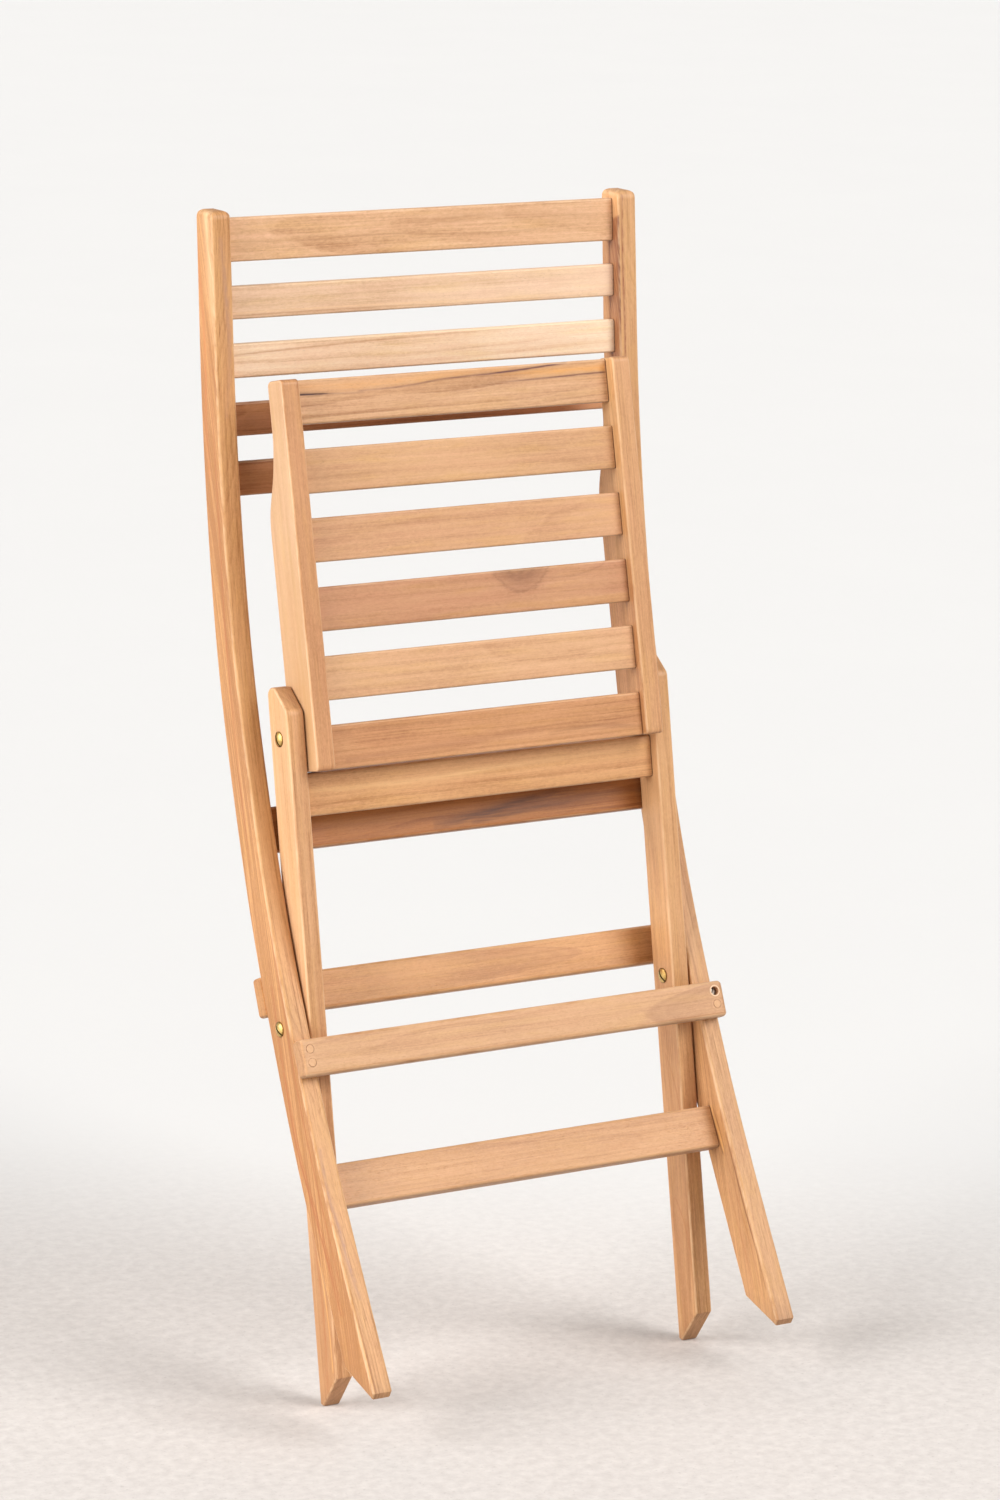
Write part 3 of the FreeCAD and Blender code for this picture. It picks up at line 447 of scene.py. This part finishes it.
GREY = srgb(176, 132, 112)
RUST = srgb(168, 100, 54)
AMBER = srgb(236, 178, 106)
sides = {
    # lean of the grain, a point on the board, then the look
    "stile_left": (17.0, (-0.21, 0.0, 0.45), dict(
        # painted shade: sides darkens the left face
        seed=21, spacing=3.4, pith=(-46, 34), warp=4.0, rings=0.15, broad=1.15, sides=[(2, 1, -0.4, (0.985, 0.985, 0.97))], tint=[(560, 180, 0.02), (120, 220, 0.09), (-330, 130, 0.05)], crisp=0.26,
        streaks=[([(-347, -0.3), (-319, 2.7), (-282, 3.7), (-249, 6.8), (-208, 4.4)], [(-347, 0.3), (-319, 0.6), (-249, 0.6), (-208, 0.3)], 1.8, GREY, 0, 1),
                 ([(440, 2.0), (492, -4.0), (545, -2.6), (600, 1.5)], [(440, 0.2), (492, 0.4), (545, 0.6), (600, 0.3)], 2.2, GREY, 0, 1),
                 # painted highlight: pale band along the front arris near the top of the left face
                 ([(505, -11.5), (556, -19.0), (590, -24.0), (626, -27.0)], [(505, 0.2), (556, 0.6), (626, 0.75)], 5.5, srgb(238, 196, 150), 1),
                 ([(390, 33.0), (444, 24.0), (496, 10.5), (548, 1.5), (610, -4.0)], [(390, 0.3), (444, 0.5), (520, 0.65), (610, 0.3)], 2.4, srgb(190, 112, 62), 1),
                 ([(-360, -12.0), (-283, 9.4), (-244, 21.8), (-203, 33.0), (-146, 38.0), (-60, 40.0)], [(-360, 0.7), (-283, 1.0), (-203, 1.0), (-60, 0.5)], 1.6, RUST),
                 ([(-360, -16.5), (-283, 5.4), (-244, 17.8), (-203, 29.0), (-146, 34.0)], [(-360, 0.5), (-283, 0.9), (-203, 0.9), (-146, 0.4)], 0.8, RUST),
                 ([(-330, -17.0), (-250, 1.0), (-180, 14.0), (-100, 22.0), (60, 36.0)], [(-330, 0.6), (-180, 0.9), (-100, 0.7), (60, 0.4)], 0.9, RUST),
                 ([(40, 52.0), (200, 46.0), (360, 24.0), (540, -6.0)], [(40, 0.4), (200, 0.8), (360, 0.7), (540, 0.2)], 1.4, RUST)])),
    "stile_right": (17.0, (0.21, 0.0, 0.45), dict(
        # painted shade: sides darkens the inner face
        seed=22, spacing=3.8, pith=(-60, -28), warp=4.0, rings=0.15, broad=1.0, tint=[(560, 220, 0.3), (-60, 120, -0.08)], sides=[(2, 1, -0.14)], crisp=0.24,
        streaks=[([(-400, -41.0), (-368, -34.5), (-341, -27.5), (-318, -21.5), (-286, -14.5), (-250, -6.0)],
                  [(-400, 0.4), (-360, 0.7), (-330, 1.1), (-290, 1.0), (-250, 0.3)], 0.8, srgb(126, 76, 42)),
                 ([(-420, -35.0), (-368, -27.0), (-318, -14.0), (-260, 2.0)], [(-420, 0.2), (-368, 0.5), (-318, 0.5), (-260, 0.1)], 0.7, RUST),
                 ([(-400, -22.0), (-330, -6.0), (-290, 3.0)], [(-400, 0.3), (-330, 0.5), (-290, 0.1)], 0.8, RUST),
                 ([(-272, -0.5), (-250, 5.5), (-224, 13.5)], [(-272, 0.5), (-250, 0.7), (-224, 0.5)], 1.5, AMBER, 1),
                 ([(-274, 1.8), (-250, 8.4), (-222, 16.4)], [(-274, 0.9), (-250, 1.1), (-222, 0.9)], 0.8, srgb(120, 70, 36), 1),
                 ([(-276, -3.0), (-250, 2.4), (-226, 10.2)], [(-276, 0.5), (-250, 0.8), (-226, 0.5)], 0.6, srgb(140, 84, 44), 1),
                 # painted shade: these three dark reddish bands on the upper inner face
                 ([(330, 16.0), (480, 0.0), (600, -26.0)], [(330, 0.1), (400, 0.6), (600, 0.8)], 18.0, srgb(146, 86, 54), 1),
                 ([(330, 3.0), (480, -10.0), (600, -34.0)], [(330, 0.3), (420, 0.9), (600, 0.9)], 3.0, srgb(112, 60, 38), 1),
                 ([(330, 24.0), (480, 9.0), (600, -18.0)], [(330, 0.2), (420, 0.6), (600, 0.8)], 1.6, srgb(104, 58, 38), 1),
                 ([(430, 6.0), (500, 4.4), (560, 5.6), (620, 4.6)], [(430, 0.3), (500, 0.8), (560, 0.7), (620, 0.5)], 1.0, srgb(148, 82, 54), 0, 1)])),
    "leg_left": (10.085, (-0.19, 0.0, 0.34), dict(
        # painted light: sides lightens the left face and gives it a cast
        seed=23, spacing=5.4, pith=(-30, 30), warp=5.0, rings=0.16, broad=0.9, sides=[(2, 1, 0.14, (0.94, 1.0, 1.04))], tint=[(-260, 130, -0.3), (60, 110, 0.04), (280, 120, 0.06)], crisp=0.2,
        streaks=[([(-345, 0.0), (-240, 0.0), (-140, 0.0)], [(-345, 0.55), (-230, 0.5), (-140, 0.1)], 30.0, srgb(164, 106, 56), 1),
                 ([(-310, -9.0), (-245, -5.0), (-203, 4.0)], [(-310, 0.5), (-245, 0.6), (-203, 0.4)], 0.8, AMBER),
                 ([(-330, 4.0), (-245, 2.0), (-180, 12.0)], [(-330, 0.4), (-245, 0.6), (-180, 0.3)], 1.3, RUST)])),
    "leg_right": (10.085, (0.19, 0.0, 0.34), dict(
        # painted light and shade: the tint at 250 lightens the top, the tint at -260 and sides darken lower down
        seed=24, spacing=6.4, pith=(4, -34), tilt=(0.0, 0.035), warp=6.0, rings=0.22, broad=0.8, tint=[(250, 240, 0.12), (-260, 150, -0.17)], sides=[(2, 1, -0.03)], crisp=0.2,
        # painted shade low on the inner face and painted light high on it
        streaks=[([(-335, 0.0), (-150, 0.0), (40, 0.0)], [(-335, 0.15), (-160, 0.3), (-60, 0.42), (40, 0.05)], 30.0, srgb(160, 106, 66), 1),
                 ([(120, 0.0), (250, 0.0), (360, 0.0)], [(120, 0.05), (220, 0.35), (360, 0.45)], 30.0, srgb(240, 196, 146), 1),
                 ([(-330, -12.0), (-250, -10.2), (-233, -5.7), (-218, 1.3), (-205, 10.0)], [(-330, 0.2), (-250, 0.55), (-218, 0.7), (-205, 0.6)], 0.7, RUST, 1),
                 ([(-320, 15.5), (-260, 15.0), (-216, 13.3), (-205, 10.0)], [(-320, 0.1), (-260, 0.4), (-205, 0.6)], 0.6, RUST, 1),
                 ([(-160, -12.0), (-110, -7.6), (-68, 9.8)], [(-160, 0.3), (-110, 0.5), (-68, 0.4)], 0.7, RUST, 1),
                 ([(-140, -3.0), (-90, 6.0), (-50, 12.0)], [(-140, 0.2), (-90, 0.45), (-50, 0.3)], 0.7, RUST, 1)])),
    # painted light: sides lightens the left face and gives it a cooler cast
    "seat_rail_left": (12.676, (-0.171, 0.06, 0.72), dict(seed=25, spacing=4.4, pith=(-20, 70), warp=4.0, rings=0.12, broad=0.7, sides=[(2, 1, 0.3, (0.835, 1.01, 1.19))], tint=[(-190, 90, -0.05)], crisp=0.1,
        streaks=[([(-230, 0.0), (-100, 0.0), (60, 0.0)], [(-230, 0.6), (-60, 0.5), (60, 0.05)], 34.0, srgb(190, 143, 92), 1)])),
    # painted shade: sides darkens the inner face; the wide streak is painted light on its upper part
    "seat_rail_right": (12.676, (0.171, 0.06, 0.72), dict(seed=26, spacing=4.4, pith=(-30, -60), warp=4.0, rings=0.12, broad=0.7, hue=0.6, sides=[(2, 1, -0.24)], tint=[(180, 90, 0.05), (60, 120, -0.08)], crisp=0.2,
        streaks=[([(-20, 0.0), (100, 0.0), (240, 0.0)], [(-20, 0.1), (90, 0.4), (240, 0.62)], 34.0, srgb(237, 192, 134), 1)])),
}
for name, (lean, org, kw) in sides.items():
    fr = side_frame(name, lean, org)
    T[name] = fr
    if name.startswith("leg"):
        kw.update(foot=4.0, dirt=0.4)
    if name.startswith("stile"):
        kw.update(foot=56.0, dirt=0.3)
    assign(name, teak(name, fr, mid=srgb(*FACE[name]), plate=True, **kw))


# ------------------------------------------------------------------ plugs: short dowels, grain across, dark glue ring
def plug_material(name, fr, bores, base):
    m, bsdf = new_material("teak_" + name)
    (l, w, t), (nl, nw, nv), _ = coords(*fr)
    dm = None
    for (bl, bw) in bores:
        dl, dh = absv(l) - bl, w - bw
        d = sqrt(dl * dl + dh * dh)
        dm = d if dm is None else minv(dm, d)
    turn = noise(l / 2.0, w / 7.0, t / 6.0, 3.0, 0.6) - 0.5
    dots = step(noise(l / 0.5, w / 0.5, t / 3.0, 1.0), 0.62, 0.74)
    rings = op("SINE", (l * 0.8 + w * 1.3) * 1.1 + turn * 5.0) * 0.5 + 0.5
    open_side = step(noise(l / 5.0 + 7.0, w / 5.0, t / 9.0, 1.0), 0.42, 0.58)
    col = mix(clamp(rings * 0.25 + turn * 0.8 + 0.1), base, times(base, (0.86, 0.8, 0.74)))
    col = mix(dots * 0.25, col, times(base, (0.6, 0.5, 0.42)))
    col = mix(step(dm, 3.2, 3.8) * (open_side * 0.62 + 0.3), col, times(base, (0.42, 0.32, 0.26)))
    put(bsdf.inputs["Base Color"], col)
    put(bsdf.inputs["Roughness"], clamp(0.6 + turn * 0.3 + dots * 0.1))
    bsdf.inputs["Specular IOR Level"].default_value = 0.35
    bp = NT[0].nodes.new("ShaderNodeBump")
    bp.inputs["Strength"].default_value = 0.6
    bp.inputs["Distance"].default_value = 0.0003
    put(bp.inputs["Height"], turn * 0.6 - dots)
    NT[0].links.new(bp.outputs[0], bsdf.inputs["Normal"])
    return m


assign("front_rail_plugs", plug_material("front_rail_plugs", T["front_cross_rail"], [(212.0, 7.6), (212.0, -4.7)], srgb(222, 176, 134)))
assign("rear_rail_plugs", plug_material("rear_rail_plugs", T["rear_cross_rail"], [(212.0, 5.5), (212.0, -7.2)], srgb(214, 164, 118)))


# ------------------------------------------------------------------ metals
def metal(name, base, dark, rough, head, amount):
    """head is the (y, z) centre of a slotted head in mm and its slot's angle in degrees, or None."""
    m, bsdf = new_material(name)
    tc = NT[0].nodes.new("ShaderNodeTexCoord")
    sp = NT[0].nodes.new("ShaderNodeSeparateXYZ")
    NT[0].links.new(tc.outputs["Object"], sp.inputs[0])
    x, y, z = [Val(s) * 1000.0 for s in sp.outputs]
    cloud = noise(x / 3.0, y / 3.0, z / 3.0, 3.0, 0.6) - 0.5
    spot = step(noise(x / 0.8, y / 0.8, z / 0.8, 2.0, 0.6), 0.58, 0.72)
    scratch = noise(x / 0.3, y / 0.12 + z / 2.0, z / 4.0, 2.0, 0.6) - 0.5
    col = mix(clamp(0.3 + cloud * 1.8), base, dark)
    col = mix(spot * amount, col, tuple(c * 0.45 for c in dark[:3]) + (1.0,))
    if head:
        # dirt in the slot; a darker rim on the head, partly tarnish and partly painted shade
        hy, hz, ang = head
        ca, sa = math.cos(math.radians(ang)), math.sin(math.radians(ang))
        dy, dz = y - hy, z - hz
        across = absv(dz * ca - dy * sa)
        rad = sqrt(dy * dy + dz * dz)
        rim = step(rad + cloud * 1.2, 5.9, 6.9) * (1.0 - step(rad, 7.2, 7.5))
        col = mix(rim * 0.7, col, srgb(92, 60, 26))
        col = mix((1.0 - step(across, 0.75, 1.05)) * (1.0 - step(rad, 7.0, 7.4)) * 0.92, col, srgb(48, 30, 10))
    put(bsdf.inputs["Base Color"], col)
    bsdf.inputs["Metallic"].default_value = 1.0
    put(bsdf.inputs["Roughness"], clamp(rough + cloud * 0.25 + spot * 0.2 + scratch * 0.12))
    bp = NT[0].nodes.new("ShaderNodeBump")
    bp.inputs["Strength"].default_value = 0.35
    bp.inputs["Distance"].default_value = 0.0001
    put(bp.inputs["Height"], scratch + cloud * 0.6 - spot * 0.5)
    NT[0].links.new(bp.outputs[0], bsdf.inputs["Normal"])
    return m


steel = metal("screw_steel", srgb(206, 198, 186), srgb(150, 140, 128), 0.5, None, 0.5)
for n, head in (("leg_pivot_bolts", (3.68, 342.42, 35.0)), ("leg_pivot_nuts", (3.68, 342.42, 40.0)), ("leg_pivot_washers", None),
                ("seat_pivot_bolts", (48.71, 595.6, 60.0)), ("seat_pivot_nuts", (48.71, 595.6, 160.0)), ("seat_pivot_washers", None)):
    assign(n, metal("brass_" + n, srgb(232, 200, 128), srgb(168, 128, 64), 0.38, head, 0.35))
for n in ("front_rail_screws", "rear_rail_screws"):
    assign(n, steel)

# ------------------------------------------------------------------ floor
fm, fb = new_material("pale_floor")
tc = NT[0].nodes.new("ShaderNodeTexCoord")
sp = NT[0].nodes.new("ShaderNodeSeparateXYZ")
NT[0].links.new(tc.outputs["Object"], sp.inputs[0])
fx, fy, fz = [Val(s) for s in sp.outputs]
cl = noise(fx * 2.2, fy * 2.2, 0.0, 4.0, 0.6) - 0.5
gr = noise(fx * 90.0, fy * 90.0, 0.0, 3.0, 0.6) - 0.5
spk = step(noise(fx * 260.0, fy * 260.0, 0.0, 2.0, 0.6), 0.6, 0.75)
away = step(fx * 0.52 + fy * 0.85 + cl * 0.05, 0.05, 0.75)
near_col = mix(clamp(0.5 + cl * 0.45 + gr * 1.4 - spk * 0.5), srgb(205, 199, 195), srgb(232, 227, 223))
far_col = mix(clamp(0.5 + cl * 0.4 + gr * 0.3), srgb(224, 224, 224), srgb(230, 230, 229))
put(fb.inputs["Base Color"], mix(away, near_col, far_col))
put(fb.inputs["Roughness"], clamp(0.82 + gr * 0.2))
fb.inputs["Specular IOR Level"].default_value = 0.2
bp = NT[0].nodes.new("ShaderNodeBump")
bp.inputs["Strength"].default_value = 0.25
bp.inputs["Distance"].default_value = 0.0006
put(bp.inputs["Height"], gr)
NT[0].links.new(bp.outputs[0], fb.inputs["Normal"])
me = bpy.data.meshes.new("floor")
R = 60.0
me.from_pydata([(-R, -R, -0.0003), (R, -R, -0.0003), (R, R, -0.0003), (-R, R, -0.0003)], [], [(0, 1, 2, 3)])
floor = bpy.data.objects.new("floor", me)
scene.collection.objects.link(floor)
me.materials.append(fm)

# ------------------------------------------------------------------ light
world = bpy.data.worlds.new("studio")
scene.world = world
world.use_nodes = True
bg = world.node_tree.nodes.get("Background") or world.node_tree.nodes.new("ShaderNodeBackground")
bg.inputs[0].default_value = (1.0, 0.985, 0.97, 1.0)
bg.inputs[1].default_value = 0.2
if "World Output" in world.node_tree.nodes:
    world.node_tree.links.new(bg.outputs[0], world.node_tree.nodes["World Output"].inputs[0])


def sunlight(name, azimuth, elevation, angle, strength, color):
    """Even light from an azimuth (0 from the front, positive from the right) and an elevation, in degrees."""
    d = bpy.data.lights.new(name, "SUN")
    d.angle = math.radians(angle)
    d.energy = strength * math.pi
    d.color = color
    o = bpy.data.objects.new(name, d)
    scene.collection.objects.link(o)
    a, e = math.radians(azimuth), math.radians(elevation)
    z = Vector((math.sin(a) * math.cos(e), -math.cos(a) * math.cos(e), math.sin(e)))
    o.matrix_world = Matrix.Translation(z * 3.0) @ z.to_track_quat("Z", "Y").to_matrix().to_4x4()
    return o


sunlight("key", 33.0, 36.0, 36.0, 0.76, (1.0, 0.98, 0.96))
sunlight("left_window", -93.0, 20.0, 55.0, 1.42, (1.0, 0.985, 0.97))
sunlight("back_fill", 150.0, 40.0, 90.0, 0.15, (1.0, 0.99, 0.98))

# ------------------------------------------------------------------ camera, from the photograph's perspective
cam = bpy.data.cameras.new("photo_camera")
cam.sensor_width = 36.0
cam.lens = 5075.93 / 1500.0 * 36.0
cam.clip_start = 0.05
cam.clip_end = 200.0
co = bpy.data.objects.new("photo_camera", cam)
scene.collection.objects.link(co)
rx = Vector((0.8638986, -0.5033788, 0.0170002))
uy = Vector((0.0980001, 0.2011040, 0.9746554))
fw = Vector((0.4940397, 0.8403374, -0.2230647))
pos = Vector((-2.25611, -3.83700, 1.594506))
co.matrix_world = Matrix(((rx.x, uy.x, -fw.x, pos.x), (rx.y, uy.y, -fw.y, pos.y), (rx.z, uy.z, -fw.z, pos.z), (0, 0, 0, 1)))
scene.camera = co
scene.view_settings.view_transform = "Standard"
